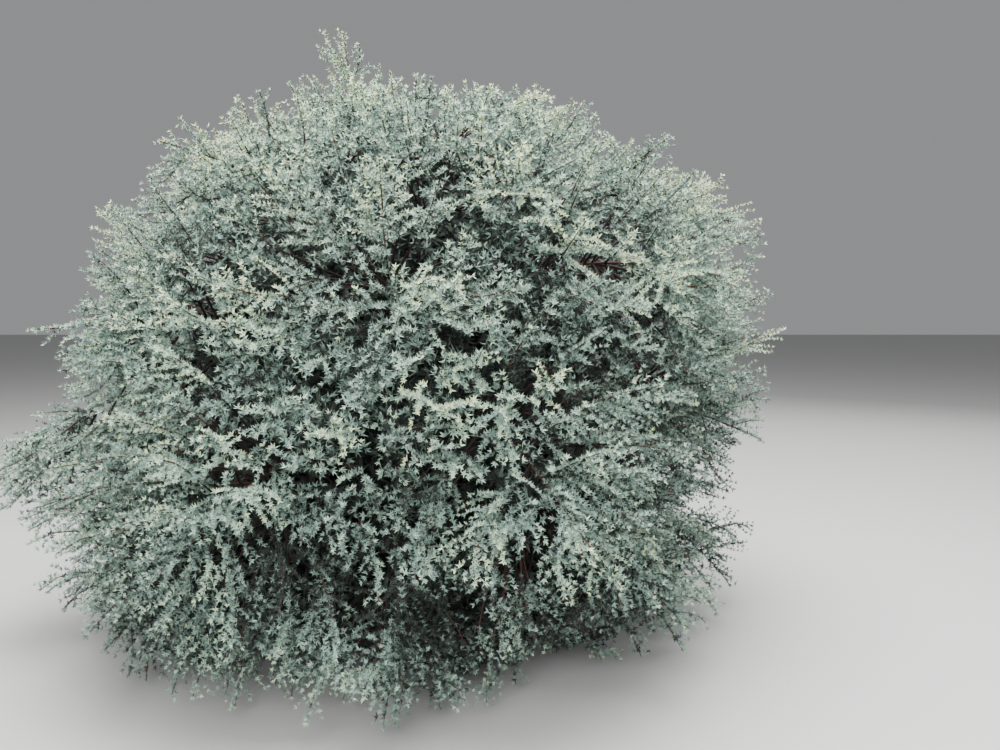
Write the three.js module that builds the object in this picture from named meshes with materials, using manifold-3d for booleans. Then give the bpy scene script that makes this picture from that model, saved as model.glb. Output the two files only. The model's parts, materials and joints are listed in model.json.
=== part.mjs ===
// A compact blue Atlas cedar, rooted in open ground: one trunk, tapering boughs in five tiers and one
// mass of needle sprays at each bough's end. Millimetres, +Z up. The origin is the centre of the
// trunk's flat cut at ground level, and the side that faces -Y is the front.
import * as THREE from "three";
import { mergeVertices } from "three/addons/utils/BufferGeometryUtils.js";
import Module from "manifold-3d";

const wasm = await Module();
wasm.setup();

// The whole tree.
const treeHeight = 2900;
const crownRadius = 1700;
const crownOffset = 60;
const crownTop = 2640;
const crownWidestAt = 850;
const crownLowerSpan = 1050;
const crownRoundness = 3;
const leaderWidth = 260;
const groundGap = 14;
const jointGap = 0.3;
const spaceGap = 4;
const limbGap = 6;
const crownSlack = 1.09;
const unionTolerance = 5.5;

// The trunk leans to the left as it rises and has five root swellings at its foot.
const trunkHeight = 2400;
const trunkFootRadius = 74;
const trunkTipRadius = 10;
const trunkTaperPower = 1.15;
const trunkLean = -270;
const trunkLeanPower = 1.35;
const trunkSway = 35;
const trunkSides = 10;
const trunkRings = 12;
const flareRadius = 34;
const flareHeight = 95;
const flareLobes = 5;
const flareLobeShare = 0.16;

// One row a tier, from the ground up. Angles are in degrees, anticlockwise from +X seen from above.
// lowest and highest are where its boughs leave the trunk, bareShare is how much of the way out is bare
// bough, tipHeight is where its longest shoots end, and stagger moves every other tip up and the rest
// down. hang tips side twigs down where negative, upright does so with their side sprays, and rolls
// are the angles round the stem at which its twigs leave it.
const tiers = [
  {
    name: "skirt",
    count: 7,
    turn: 270,
    lowest: 150,
    highest: 400,
    rise: 26,
    baseRadius: 23,
    bareHeight: 560,
    bareShare: 0.25,
    tipHeight: 270,
    stagger: 30,
    hang: -0.4,
    upright: -0.9,
    rolls: [172, 8, 222, 318, 96],
  },
  {
    name: "lower",
    count: 7,
    turn: 296,
    lowest: 470,
    highest: 760,
    rise: 36,
    baseRadius: 25,
    bareHeight: 930,
    bareShare: 0.26,
    tipHeight: 860,
    stagger: 60,
    hang: -0.14,
    upright: -0.7,
    rolls: [176, 4, 96, 228, 312],
  },
  {
    name: "middle",
    count: 7,
    turn: 270,
    lowest: 850,
    highest: 1180,
    rise: 48,
    baseRadius: 22,
    bareHeight: 1400,
    bareShare: 0.24,
    tipHeight: 1560,
    stagger: 110,
    hang: 0,
    upright: 0.6,
    rolls: [178, 2, 232, 308],
  },
  {
    name: "upper",
    count: 5,
    turn: 5,
    lowest: 1280,
    highest: 1620,
    rise: 58,
    baseRadius: 17,
    bareHeight: 1830,
    bareShare: 0.22,
    tipHeight: 2120,
    stagger: 110,
    hang: 0.06,
    upright: 0.7,
    rolls: [174, 6, 236, 304],
  },
  {
    name: "top",
    count: 2,
    turn: 165,
    lowest: 1780,
    highest: 1900,
    rise: 68,
    baseRadius: 12,
    bareHeight: 2130,
    bareShare: 0.22,
    tipHeight: 2480,
    stagger: 60,
    hang: 0.1,
    upright: 0.6,
    rolls: [170, 10, 236, 304],
  },
];
// Boughs that reach past the round of the crown, and how far.
const longBoughs = { lower_6: 1.14, upper_1: 1.12 };
const reachSpread = 0.07;
const turnSpread = 5;
const heightSpread = 35;
const goldenShare = 0.618;
const boughSides = 5;
const boughRings = 3;
const boughTipShare = 0.42;

// The stem of a mass and its twigs. Inner is at the stem's root, outer at its tip.
const stemSides = 3;
const stemTipRadius = 5;
const twigSides = 3;
const twigRadiusShare = 0.62;
const twigTipRadius = 4;
const twigLeanInner = 60;
const twigLeanOuter = 38;
const twigLeanSpread = 6;
const twigReachInner = 0.7;
const twigReachOuter = 0.4;
const twigReachSpread = 0.1;
const twigPull = 0.12;
const rollSpread = 8;
const leaderRolls = [20, 157, 295, 72];
const leaderHang = 0.3;
const leaderReach = 0.75;

// Sprays stand for many needle shoots each. Sizes are tried from the largest down until one fits.
const spraySizes = [1, 0.78, 0.56, 0.34];
const twigSizes = [1, 0.85, 0.7, 0.55, 0.4];
const coreSizes = [1, 0.88, 0.76, 0.64, 0.52, 0.4];
const sprayLength = 560;
const sprayWidth = 310;
const sprayThick = 105;
const sprayDroop = 0.05;
const sprayTilt = 45;
const sunkAtTip = 0.88;
const sunkAtSide = 0.1;
const sideSprayPlace = 0.4;
const sideSprayTurn = 0.7;
const tipSprayTurns = [-0.55, 0, 0.55];
const tipSprayPlace = 0.72;
const tipSpraySize = 0.9;
const coreSides = 6;
const coreWidth = 0.33;
const coreThick = 0.2;
const coreNotch = 0.5;
const coreJitter = 0.15;
const coreSweep = 0.18;
const coreRows = [
  [0.22, 0.55],
  [0.45, 1],
  [0.68, 0.8],
];
const coreBehind = 0.42;
const coreAhead = 0.46;
const needleSeed = 4127;

const up = new THREE.Vector3(0, 0, 1);

// Mulberry32: the same numbers for the same seed, always.
function seeded(seed) {
  let state = seed >>> 0;
  return () => {
    state = (state + 0x6d2b79f5) >>> 0;
    let mixed = Math.imul(state ^ (state >>> 15), state | 1);
    mixed ^= mixed + Math.imul(mixed ^ (mixed >>> 7), mixed | 61);
    return ((mixed ^ (mixed >>> 14)) >>> 0) / 4294967296;
  };
}

function radiusOfCrown(z) {
  const span = z > crownWidestAt ? crownTop - crownWidestAt : crownLowerSpan;
  const share = Math.min(1, Math.abs(z - crownWidestAt) / span);
  return crownRadius * Math.sqrt(1 - share ** crownRoundness);
}

function trunkAxis(z) {
  const share = Math.max(0, z) / treeHeight;
  const lean = trunkLean * share ** trunkLeanPower;
  return new THREE.Vector3(lean, trunkSway * Math.sin(4 * share), z);
}

function trunkRadius(z) {
  const share = Math.max(0, 1 - z / trunkHeight) ** trunkTaperPower;
  const taper = trunkTipRadius + (trunkFootRadius - trunkTipRadius) * share;
  return taper + flareRadius * Math.exp(-z / flareHeight);
}

function outward(degrees) {
  const turn = THREE.MathUtils.degToRad(degrees);
  return new THREE.Vector3(Math.cos(turn), Math.sin(turn), 0);
}

// A closed three.js mesh as a solid, with only its positions kept.
function solidOf(geometry) {
  const bare = new THREE.BufferGeometry();
  bare.setAttribute("position", geometry.getAttribute("position").clone());
  bare.setIndex(geometry.index);
  const merged = mergeVertices(bare, 1e-3);
  return new wasm.Manifold(
    new wasm.Mesh({
      numProp: 3,
      vertProperties: new Float32Array(merged.attributes.position.array),
      triVerts: new Uint32Array(merged.index.array),
    }),
  );
}

function geometryOf(solid) {
  const mesh = solid.getMesh();
  const geometry = new THREE.BufferGeometry();
  const position = new THREE.BufferAttribute(mesh.vertProperties, 3);
  geometry.setAttribute("position", position);
  geometry.setIndex(new THREE.BufferAttribute(mesh.triVerts, 1));
  geometry.computeVertexNormals();
  return geometry;
}

// A round rod whose rings follow a curve, with a radius for each share of its length.
function limb(curve, radiusAt, sides, rings, reference) {
  const rod = new THREE.CylinderGeometry(1, 1, 1, sides, rings);
  const place = rod.getAttribute("position");
  for (let i = 0; i < place.count; i++) {
    const share = place.getY(i) + 0.5;
    const tangent = curve.getTangent(share);
    const side = reference.clone().addScaledVector(tangent, -reference.dot(tangent)).normalize();
    const front = side.clone().cross(tangent);
    const point = curve.getPoint(share);
    const radius = radiusAt(share);
    point.addScaledVector(side, place.getX(i) * radius);
    point.addScaledVector(front, place.getZ(i) * radius);
    place.setXYZ(i, point.x, point.y, point.z);
  }
  return solidOf(rod);
}

// The trunk's rings are level, so that its foot is a flat cut. grow makes it a little fatter all over.
function trunkSolid(grow) {
  const rod = new THREE.CylinderGeometry(1, 1, 1, trunkSides, trunkRings);
  const place = rod.getAttribute("position");
  for (let i = 0; i < place.count; i++) {
    const z = trunkHeight * (place.getY(i) + 0.5) ** 1.5;
    const angle = Math.atan2(place.getX(i), place.getZ(i));
    const lobes = flareLobeShare * Math.cos(flareLobes * angle) * Math.exp(-z / flareHeight);
    const radius = trunkRadius(z) * (1 + lobes) + grow;
    const axis = trunkAxis(z);
    place.setXYZ(i, axis.x + place.getZ(i) * radius, axis.y + place.getX(i) * radius, z);
  }
  return solidOf(rod);
}

// Where each bough leaves the trunk, where its bare part ends and where its mass of foliage ends.
function planBoughs() {
  const plans = [];
  for (const tier of tiers) {
    for (let k = 0; k < tier.count; k++) {
      const mark = tier.name + "_" + (k + 1);
      const stretch = longBoughs[mark] ?? 1;
      const draw = seeded(needleSeed + plans.length * 97);
      const turn = tier.turn + (360 * k) / tier.count + turnSpread * (2 * draw() - 1);
      const away = outward(turn);
      const low = tier.lowest + (tier.highest - tier.lowest) * ((k * goldenShare) % 1);
      const stagger = k % 2 ? tier.stagger : -tier.stagger;
      const tipHeight = tier.tipHeight + stagger + heightSpread * (2 * draw() - 1);
      const reach = stretch * radiusOfCrown(tipHeight) * (1 + reachSpread * (2 * draw() - 1));
      const centre = trunkAxis(tier.bareHeight);
      const bareEnd = away.clone().multiplyScalar(reach * tier.bareShare);
      const bareHeight = tier.bareHeight + stagger / 2 + heightSpread * (2 * draw() - 1);
      bareEnd.addScaledVector(centre, 0.5).setZ(bareHeight);
      const start = trunkAxis(low);
      const rise = THREE.MathUtils.degToRad(tier.rise);
      const leave = away.clone().multiplyScalar(Math.cos(rise)).addScaledVector(up, Math.sin(rise));
      const tip = away.clone().multiplyScalar(reach).setZ(tipHeight);
      tip.x += crownOffset;
      const span = start.distanceTo(bareEnd);
      const elbow = start.clone().addScaledVector(leave, span * 0.55);
      const bough = new THREE.QuadraticBezierCurve3(start, elbow, bareEnd);
      const onward = bough.getTangent(1);
      const root = bareEnd.clone().addScaledVector(onward, jointGap);
      const knee = root.clone().addScaledVector(onward, root.distanceTo(tip) * 0.45);
      const stem = new THREE.QuadraticBezierCurve3(root, knee, tip);
      const across = new THREE.Vector3(-away.y, away.x, 0);
      const endRadius = tier.baseRadius * boughTipShare;
      plans.push({ tier, mark, stretch, away, across, bough, stem, endRadius, draw });
    }
  }
  return plans;
}

// The leader carries on from the trunk's tip as a mass of its own.
function planLeader(index) {
  const slope = (trunkAxis(trunkHeight).x - trunkAxis(treeHeight).x) / (treeHeight - trunkHeight);
  const root = trunkAxis(trunkHeight + jointGap + slope * trunkTipRadius);
  const tip = trunkAxis(treeHeight);
  const knee = trunkAxis((trunkHeight + treeHeight) / 2);
  const stem = new THREE.QuadraticBezierCurve3(root, knee, tip);
  const tier = { name: "leader", hang: leaderHang, upright: leaderHang, rolls: leaderRolls };
  return {
    tier,
    mark: "leader",
    stretch: 1,
    away: outward(0),
    across: outward(90),
    stem,
    endRadius: trunkTipRadius,
    draw: seeded(needleSeed + index * 97),
  };
}

const boughPlans = planBoughs();
const massPlans = [...boughPlans, planLeader(boughPlans.length)];
const centres = massPlans.map((plan) => plan.stem.getPoint(0.5));

// The crown is round about an axis a little to the right of the trunk, and the leader rises out of it.
function insideCrown(point, stretch) {
  const reach = radiusOfCrown(point.z) * crownSlack * stretch;
  if (Math.hypot(point.x - crownOffset, point.y) < reach) return true;
  return point.z > crownWidestAt && point.distanceTo(trunkAxis(point.z)) < leaderWidth;
}

// Every mass keeps to the part of the crown that is nearer to its own centre than to any other.
function keepsToSpace(index, point) {
  if (point.z < groundGap || point.z > treeHeight) return false;
  if (!insideCrown(point, massPlans[index].stretch)) return false;
  const own = centres[index];
  return centres.every((other, j) => {
    if (j === index) return true;
    const between = other.clone().sub(own);
    const length = between.length();
    const along = point.clone().sub(own).dot(between) / length;
    return along < length / 2 - spaceGap;
  });
}

const limbLines = boughPlans.map((plan) => ({
  points: plan.bough.getPoints(10),
  radiusAt: (share) => plan.tier.baseRadius * (1 - share * (1 - boughTipShare)),
}));
limbLines.push({
  points: Array.from({ length: 25 }, (_, i) => trunkAxis((trunkHeight * i) / 24)),
  radiusAt: (share) => trunkRadius(trunkHeight * share),
});

// True if a point keeps a clear distance from the trunk and from every bough.
function clearOfLimbs(point, gap) {
  const nearest = new THREE.Vector3();
  const segment = new THREE.Line3();
  return limbLines.every((line) => {
    const last = line.points.length - 1;
    for (let i = 0; i < last; i++) {
      segment.set(line.points[i], line.points[i + 1]);
      segment.closestPointToPoint(point, true, nearest);
      if (nearest.distanceTo(point) < line.radiusAt(i / last) + gap) return false;
    }
    return true;
  });
}

function fits(index, points) {
  return points.every((p) => keepsToSpace(index, p) && clearOfLimbs(p, limbGap));
}

// A closed shell of a jagged ring with one point above it and one below.
function bipyramid(ring, top, bottom) {
  const points = [...ring, top, bottom];
  const count = ring.length;
  const index = ring.flatMap((_, i) => {
    const next = (i + 1) % count;
    return [i, next, count, next, i, count + 1];
  });
  const geometry = new THREE.BufferGeometry().setFromPoints(points);
  geometry.setIndex(index);
  return { points, geometry };
}

// A toothed blade, thick in the middle, that stands for a spray of needle shoots.
function spray(root, along, flatSide, length, width) {
  const face = along.clone().cross(flatSide).normalize();
  const side = face.clone().cross(along).normalize();
  const outline = [
    [0, 0],
    [0.4, -0.5],
    [0.56, -0.2],
    [1, 0],
    [0.72, 0.22],
    [0.6, 0.5],
  ];
  const ring = outline.map(([x, y]) => {
    const point = root.clone().addScaledVector(along, x * length);
    point.addScaledVector(side, y * width);
    return point.addScaledVector(up, -sprayDroop * length * x * x);
  });
  const middle = root.clone().addScaledVector(along, 0.48 * length);
  const top = middle.clone().addScaledVector(face, sprayThick / 2);
  const bottom = middle.clone().addScaledVector(face, -sprayThick / 2);
  return bipyramid(ring, top, bottom);
}

// The twigs of one mass: each leaves the stem at a lean to it and at a roll about it.
function planTwigs(plan) {
  const { tier, stem, draw, across } = plan;
  const full = stem.getLength() * (tier.name === "leader" ? leaderReach : 1);
  return tier.rolls.map((tierRoll, k) => {
    const share = (k + 1) / (tier.rolls.length + 1);
    const start = stem.getPoint(share);
    const tangent = stem.getTangent(share);
    const over = across.clone().cross(tangent).normalize();
    const roll = THREE.MathUtils.degToRad(tierRoll + rollSpread * (2 * draw() - 1));
    const sideways = across.clone().multiplyScalar(Math.cos(roll)).addScaledVector(over, Math.sin(roll));
    const leanMiddle = THREE.MathUtils.lerp(twigLeanInner, twigLeanOuter, share);
    const lean = THREE.MathUtils.degToRad(leanMiddle + twigLeanSpread * (2 * draw() - 1));
    const direction = tangent.clone().multiplyScalar(Math.cos(lean));
    direction.addScaledVector(sideways, Math.sin(lean)).normalize();
    const reach = THREE.MathUtils.lerp(twigReachInner, twigReachOuter, share);
    const length = full * reach * (1 + twigReachSpread * (2 * draw() - 1));
    return { share, start, direction, length, hang: tier.hang };
  });
}

function twigLine(twig, away, length) {
  const tip = twig.start.clone().addScaledVector(twig.direction, length);
  tip.addScaledVector(up, twig.hang * length).addScaledVector(away, twigPull * length);
  return new THREE.LineCurve3(twig.start, tip);
}

// Rows of points closed by one end point before the first row and one after the last.
function closedRows(points, sides, rows) {
  const first = sides * rows;
  const index = [];
  for (let i = 0; i < sides; i++) {
    const next = (i + 1) % sides;
    index.push(first, next, i);
    for (let row = 1; row < rows; row++) {
      const low = (row - 1) * sides;
      const high = row * sides;
      index.push(low + i, low + next, high + i, low + next, high + next, high + i);
    }
    const last = (rows - 1) * sides;
    index.push(last + i, last + next, first + 1);
  }
  const geometry = new THREE.BufferGeometry().setFromPoints(points);
  geometry.setIndex(index);
  return geometry;
}

// The jagged heart of a mass: rings of teeth swept towards the tip, made small enough for its space.
function core(index, plan) {
  const { stem, across, draw } = plan;
  const full = stem.getLength();
  const count = coreSides * coreRows.length;
  const jitters = Array.from({ length: count }, () => 1 + coreJitter * (2 * draw() - 1));
  for (const size of coreSizes) {
    const points = coreRows.flatMap(([share, girth], row) =>
      Array.from({ length: coreSides }, (_, i) => {
        const tooth = (i + row) % 2;
        const reach = size * girth * jitters[row * coreSides + i] * (tooth ? 1 : coreNotch) * full;
        const angle = (2 * Math.PI * i) / coreSides;
        const place = 0.5 + (share - 0.5) * size + tooth * coreSweep * size;
        const point = stem.getPoint(place);
        const over = stem.getTangent(place).cross(across).normalize();
        point.addScaledVector(across, reach * coreWidth * Math.cos(angle));
        return point.addScaledVector(over, reach * coreThick * Math.sin(angle));
      }),
    );
    points.push(stem.getPoint(0.5 - coreBehind * size), stem.getPoint(0.5 + coreAhead * size));
    if (fits(index, points)) return solidOf(closedRows(points, coreSides, coreRows.length));
  }
  return null;
}

// A spray passes through its anchor with a share of its length behind it, or is left out if none fits.
function addSpray(parts, index, anchor, sunk, along, flatSide, scale) {
  for (const size of spraySizes) {
    const length = sprayLength * scale * size;
    const root = anchor.clone().addScaledVector(along, -sunk * length);
    const blade = spray(root, along, flatSide, length, sprayWidth * scale * size);
    if (fits(index, blade.points.slice(1))) {
      parts.push(solidOf(blade.geometry));
      return;
    }
  }
}

// The longest of a few lengths of a twig that keeps to the mass's space, or null.
function fittedTwig(index, twig, away) {
  for (const size of twigSizes) {
    const line = twigLine(twig, away, twig.length * size);
    if (fits(index, line.getPoints(6).slice(1))) return line;
  }
  return null;
}

// The level direction across a shoot, or the one across the crown where it is steep, then tilted.
function flatSideOf(chord, away, tilt) {
  const steep = Math.abs(chord.z) > 0.9;
  const flat = steep ? away.clone().cross(chord) : up.clone().cross(chord);
  return flat.normalize().applyAxisAngle(chord.clone().normalize(), tilt);
}

function massSolid(index) {
  const plan = massPlans[index];
  const { stem, away, across, draw, tier } = plan;
  const stemRadius = (share) => stemTipRadius + (plan.endRadius - stemTipRadius) * (1 - share);
  const parts = [limb(stem, stemRadius, stemSides, tier.rolls.length + 1, across)];
  const heart = core(index, plan);
  if (heart) parts.push(heart);
  planTwigs(plan).forEach((twig, k) => {
    const line = fittedTwig(index, twig, away);
    const tilts = [0, 1].map(() => THREE.MathUtils.degToRad(sprayTilt * (2 * draw() - 1)));
    const handed = draw() < 0.5 ? -1 : 1;
    if (!line) return;
    const rootRadius = stemRadius(twig.share) * twigRadiusShare;
    const radiusAt = (share) => twigTipRadius + (rootRadius - twigTipRadius) * (1 - share);
    const forward = line.getTangent(0);
    const level = flatSideOf(forward, away, 0);
    parts.push(limb(line, radiusAt, twigSides, 1, level));
    const forwardFlat = flatSideOf(forward, away, tilts[0]);
    addSpray(parts, index, line.getPoint(1), sunkAtTip, forward, forwardFlat, 1);
    const hasSideSpray = k % 2 === 0;
    if (!hasSideSpray) return;
    const aside = forward.clone().addScaledVector(level, handed * sideSprayTurn);
    aside.addScaledVector(up, tier.upright).normalize();
    const anchor = line.getPoint(sideSprayPlace);
    addSpray(parts, index, anchor, sunkAtSide, aside, flatSideOf(aside, away, tilts[1]), 1);
  });
  for (const side of tipSprayTurns) {
    const share = side ? tipSprayPlace : 1;
    const along = stem.getTangent(share).addScaledVector(across, side).normalize();
    const sunk = side ? sunkAtSide : sunkAtTip;
    const flat = flatSideOf(along, away, side);
    addSpray(parts, index, stem.getPoint(share), sunk, along, flat, tipSpraySize);
  }
  const joined = wasm.Manifold.union(parts).simplify(unionTolerance);
  const pieces = joined.decompose().sort((a, b) => b.volume() - a.volume());
  return pieces[0];
}

function material(colour, roughness) {
  return new THREE.MeshStandardMaterial({ color: colour, roughness, metalness: 0 });
}

const barkFinish = material(0x5b463b, 0.95);
const boughFinish = material(0x63483a, 0.9);
const needleFinish = material(0x8fa6a3, 0.8);

const cedar = new THREE.Group();
cedar.name = "blue_atlas_cedar";

function addNode(name, solid, finish) {
  const mesh = new THREE.Mesh(geometryOf(solid), finish);
  mesh.name = name;
  cedar.add(mesh);
}

addNode("trunk", trunkSolid(0), barkFinish);
const trunkBite = trunkSolid(jointGap);
for (const plan of boughPlans) {
  const { tier, bough, across } = plan;
  const radiusAt = (share) => tier.baseRadius * (1 - share * (1 - boughTipShare));
  const whole = limb(bough, radiusAt, boughSides, boughRings, across).subtract(trunkBite);
  const pieces = whole.decompose().sort((a, b) => b.volume() - a.volume());
  addNode("bough_" + plan.mark, pieces[0], boughFinish);
}
massPlans.forEach((plan, index) => {
  addNode("foliage_" + plan.mark, massSolid(index), needleFinish);
});

export default cedar;
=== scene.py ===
import json
import math

import bpy
import numpy as np
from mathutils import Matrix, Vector, noise

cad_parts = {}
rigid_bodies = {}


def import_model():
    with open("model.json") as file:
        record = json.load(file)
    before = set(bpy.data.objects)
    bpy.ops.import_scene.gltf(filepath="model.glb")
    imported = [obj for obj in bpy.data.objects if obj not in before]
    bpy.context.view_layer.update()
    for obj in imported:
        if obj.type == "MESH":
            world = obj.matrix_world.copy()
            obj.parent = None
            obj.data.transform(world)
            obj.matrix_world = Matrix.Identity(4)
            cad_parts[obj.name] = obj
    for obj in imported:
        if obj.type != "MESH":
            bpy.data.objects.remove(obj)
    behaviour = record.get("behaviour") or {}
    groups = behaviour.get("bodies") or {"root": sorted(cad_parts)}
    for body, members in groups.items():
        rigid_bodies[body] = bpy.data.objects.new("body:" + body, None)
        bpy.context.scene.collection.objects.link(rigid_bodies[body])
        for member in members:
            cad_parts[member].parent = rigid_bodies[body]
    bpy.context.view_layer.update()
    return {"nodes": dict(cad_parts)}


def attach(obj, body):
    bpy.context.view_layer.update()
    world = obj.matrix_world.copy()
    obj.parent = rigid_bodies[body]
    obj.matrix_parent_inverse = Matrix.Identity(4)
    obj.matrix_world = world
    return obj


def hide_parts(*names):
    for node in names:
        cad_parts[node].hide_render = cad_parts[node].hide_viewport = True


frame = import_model()
print("frame:", len(frame["nodes"]), "nodes")

# Metres and degrees all through, +Z up. The plan of trunk, boughs and stems is the one the solids have.
# Shoots reach past the dome's radius by slack. Where the skin is dented by more than dentFrom they stand
# out of it by dentSlack at most, except within stemSlack of their mass's stem.
crown = {
    "height": 2.9,
    "radius": 1.7,
    "offset": 0.06,
    "top": 2.64,
    "widestAt": 0.85,
    "lowerSpan": 1.05,
    "roundness": 3,
    "leaderWidth": 0.26,
    "tuftGap": 0.036,
    "slack": 1.09,
    "dentFrom": 0.02,
    "dentSlack": 0.1,
    "stemSlack": 0.14,
    "spaceGap": 0.004,
    "limbGap": 0.006,
    "reachSpread": 0.07,
    "turnSpread": 5,
    "heightSpread": 0.035,
    "goldenShare": 0.618,
}
seeds = {"limbs": 4127, "limbStep": 97, "shoots": 9127, "shootStep": 31, "tints": 13127, "points": 11}
trunk = {
    "height": 2.4,
    "footRadius": 0.074,
    "tipRadius": 0.01,
    "taperPower": 1.15,
    "lean": -0.27,
    "leanPower": 1.35,
    "sway": 0.035,
    "swayTurn": 4,
    "flareRadius": 0.034,
    "flareHeight": 0.095,
    "flareLobes": 5,
    "flareLobeShare": 0.16,
    "jointGap": 0.0003,
}
bough = {"tipShare": 0.42, "elbowShare": 0.55, "kneeShare": 0.45, "leanShare": 0.5}
longBoughs = {"lower_6": 1.14, "upper_1": 1.12}

# One row a tier, from the ground up, as in the solids. flatness is the share of its side shoots that lie
# in one plane.
tiers = [
    {
        "name": "skirt", "count": 7, "turn": 270, "lowest": 0.15, "highest": 0.4, "rise": 26,
        "baseRadius": 0.023, "bareHeight": 0.56, "bareShare": 0.25, "tipHeight": 0.27,
        "stagger": 0.03, "hang": -0.4, "rolls": [172, 8, 222, 318, 96], "flatness": 0.45,
    },
    {
        "name": "lower", "count": 7, "turn": 296, "lowest": 0.47, "highest": 0.76, "rise": 36,
        "baseRadius": 0.025, "bareHeight": 0.93, "bareShare": 0.26, "tipHeight": 0.86,
        "stagger": 0.06, "hang": -0.14, "rolls": [176, 4, 96, 228, 312], "flatness": 0.5,
    },
    {
        "name": "middle", "count": 7, "turn": 270, "lowest": 0.85, "highest": 1.18, "rise": 48,
        "baseRadius": 0.022, "bareHeight": 1.4, "bareShare": 0.24, "tipHeight": 1.56,
        "stagger": 0.11, "hang": 0, "rolls": [178, 2, 232, 308], "flatness": 0.5,
    },
    {
        "name": "upper", "count": 5, "turn": 5, "lowest": 1.28, "highest": 1.62, "rise": 58,
        "baseRadius": 0.017, "bareHeight": 1.83, "bareShare": 0.22, "tipHeight": 2.12,
        "stagger": 0.11, "hang": 0.06, "rolls": [174, 6, 236, 304], "flatness": 0.35,
    },
    {
        "name": "top", "count": 2, "turn": 165, "lowest": 1.78, "highest": 1.9, "rise": 68,
        "baseRadius": 0.012, "bareHeight": 2.13, "bareShare": 0.22, "tipHeight": 2.48,
        "stagger": 0.06, "hang": 0.1, "rolls": [170, 10, 236, 304], "flatness": 0.35,
    },
]
leader = {"name": "leader", "hang": 0.3, "reach": 0.75, "rolls": [20, 157, 295, 72], "flatness": 0.1}
twig = {
    "leanInner": 60,
    "leanOuter": 38,
    "leanSpread": 6,
    "reachInner": 0.7,
    "reachOuter": 0.4,
    "reachSpread": 0.1,
    "pull": 0.12,
    "rollSpread": 8,
    "heartDraws": 18,
    "lengthSteps": 40,
}
up = Vector((0, 0, 1))


def seededDraw(seed):  # Mulberry32, the solids' own: the same numbers for the same seed, always
    state = seed & 0xFFFFFFFF

    def draw():
        nonlocal state
        state = (state + 0x6D2B79F5) & 0xFFFFFFFF
        mixed = ((state ^ (state >> 15)) * (state | 1)) & 0xFFFFFFFF
        mixed ^= (mixed + (mixed ^ (mixed >> 7)) * (mixed | 61)) & 0xFFFFFFFF
        return (mixed ^ (mixed >> 14)) / 4294967296

    return draw


def between(draw, low, high):
    return low + (high - low) * draw()


def spread(draw, width):  # up to the width either way
    return between(draw, -1, 1) * width


def mix(a, b, share):
    return a + (b - a) * share


def shareOfSpan(z):  # 0 where the crown is widest, 1 at its top and below the ground
    upper, lower = crown["top"] - crown["widestAt"], crown["lowerSpan"]
    return np.abs(z - crown["widestAt"]) / np.where(z > crown["widestAt"], upper, lower)


def radiusOfCrown(z):
    share = np.minimum(1, shareOfSpan(np.asarray(z, float)))
    return crown["radius"] * np.sqrt(1 - share ** crown["roundness"])


# Where the photograph shows the skin lying deeper than a plain dome's, or proud of it where negative.
# The dark hollows low in front and the right side get painted shade in their needles' tints as well;
# the belt above the hollows gets painted light, where shade is negative.
reliefs = [
    {"place": (-1.05, -0.45, 2.3), "radii": (0.8, 1.2, 0.6), "inward": 0.24},
    {"place": (-1.5, -0.6, 1.62), "radii": (0.9, 1.2, 0.55), "inward": 0.3},
    {"place": (-1.45, -0.25, 1.15), "radii": (0.9, 1.8, 0.2), "inward": 0.65},
    {"place": (-1.95, -0.4, 0.76), "radii": (0.6, 0.55, 0.3), "inward": -0.32},
    {"place": (-1.35, -0.4, 2.08), "radii": (0.3, 0.35, 0.14), "inward": -0.14},
    {"place": (1.45, -0.55, 0.75), "radii": (0.9, 1.2, 0.8), "inward": 0.22},
    {"place": (1.5, -0.55, 1.1), "radii": (0.6, 0.9, 0.2), "inward": 0.12},
    {"place": (1.5, -0.55, 0.6), "radii": (0.6, 0.9, 0.22), "inward": 0.18},
    {"place": (0.9, -1.3, 0.12), "radii": (0.6, 0.8, 0.4), "inward": 0.7},
    {"place": (-0.14, -1.45, 0.62), "radii": (0.36, 0.6, 0.24), "inward": 0.3, "shade": 0.55},
    {"place": (0.18, -1.5, 0.92), "radii": (0.36, 0.6, 0.14), "inward": 0.25, "shade": 0.4},
    {"place": (0.3, -1.4, 0.42), "radii": (0.36, 0.6, 0.26), "inward": 0.3, "shade": 0.5},
    {"place": (0.0, -1.5, 1.2), "radii": (1.0, 0.7, 0.34), "inward": -0.12, "shade": -0.18},
    {"place": (1.3, -0.9, 1.1), "radii": (0.75, 1.1, 0.42), "inward": 0, "shade": 0.24},
]


def reliefAt(points):
    inward = np.zeros(len(points))
    for relief in reliefs:
        away = (((points - relief["place"]) / relief["radii"]) ** 2).sum(axis=1)
        inward += relief["inward"] * np.clip(1 - away, 0, 1) ** 2
    return inward


# Painted shade in the needles' tints about each relief that has some; a negative one is painted light.
def shadeAt(point):
    shade = 0
    for relief in reliefs:
        away = sum(((a - b) / c) ** 2 for a, b, c in zip(point, relief["place"], relief["radii"]))
        shade += relief.get("shade", 0) * max(0, 1 - away)
    return shade


def depthInCrown(points):  # metres, roughly, from the crown's outer skin: 0 or less is at the skin
    reach = np.hypot(points[:, 0] - crown["offset"], points[:, 1]) / crown["radius"]
    plain = (1 - np.sqrt(reach ** 2 + shareOfSpan(points[:, 2]) ** crown["roundness"])) * crown["radius"]
    return plain - reliefAt(points)


def trunkAxis(z):
    share = max(0, z) / crown["height"]
    sway = trunk["sway"] * math.sin(trunk["swayTurn"] * share)
    return Vector((trunk["lean"] * share ** trunk["leanPower"], sway, z))


def trunkRadius(z):
    share = max(0, 1 - z / trunk["height"]) ** trunk["taperPower"]
    taper = trunk["tipRadius"] + (trunk["footRadius"] - trunk["tipRadius"]) * share
    return taper + trunk["flareRadius"] * math.exp(-z / trunk["flareHeight"])


def outward(degrees):
    turn = math.radians(degrees)
    return Vector((math.cos(turn), math.sin(turn), 0))


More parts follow.
